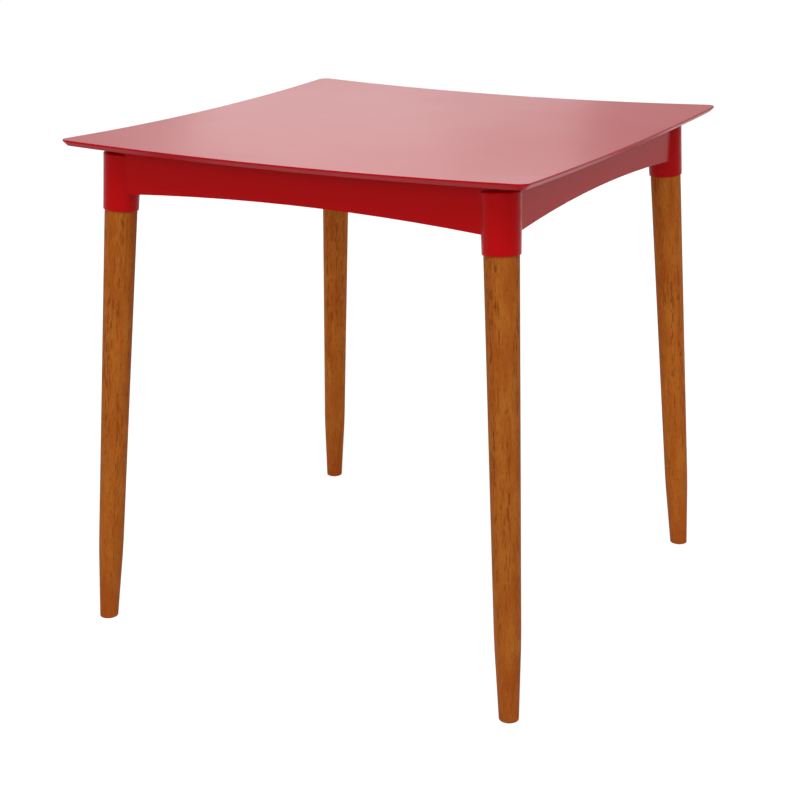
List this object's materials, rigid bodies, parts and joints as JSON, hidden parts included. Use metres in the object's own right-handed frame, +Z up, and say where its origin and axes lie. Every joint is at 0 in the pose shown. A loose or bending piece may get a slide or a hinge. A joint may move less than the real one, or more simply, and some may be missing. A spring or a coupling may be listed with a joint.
{
  "type": "dining table",
  "caption": "Square dining table with a thin dished plastic top on a moulded underframe of arched aprons and round collars, and turned splayed wooden legs that screw into it.",
  "frame": {"origin": "on the floor under the middle of the tabletop", "axes": "+Z up; +X and +Y square to the tabletop's edges; the table is the same on all sides"},
  "size_m": [0.6994, 0.6994, 0.7196],
  "materials": {
    "top_plastic": "red injection-moulded polypropylene, semi-gloss",
    "frame_plastic": "red injection-moulded polypropylene, satin",
    "leg_wood": "orange-brown stained hardwood, satin lacquer",
    "zinc_steel": "bright zinc plated",
    "brass": "plain turned"
  },
  "bodies": {
    "root": {"tabletop": "top_plastic", "underframe": "frame_plastic", "leg_front_left": "leg_wood", "leg_front_right": "leg_wood", "leg_back_right": "leg_wood", "leg_back_left": "leg_wood", "leg_bolt_front_left": "zinc_steel", "leg_bolt_front_right": "zinc_steel", "leg_bolt_back_right": "zinc_steel", "leg_bolt_back_left": "zinc_steel", "leg_insert_front_left": "brass", "leg_insert_front_right": "brass", "leg_insert_back_right": "brass", "leg_insert_back_left": "brass", "top_screws_front": "zinc_steel", "top_screws_right": "zinc_steel", "top_screws_back": "zinc_steel", "top_screws_left": "zinc_steel"}
  },
  "joints": []
}
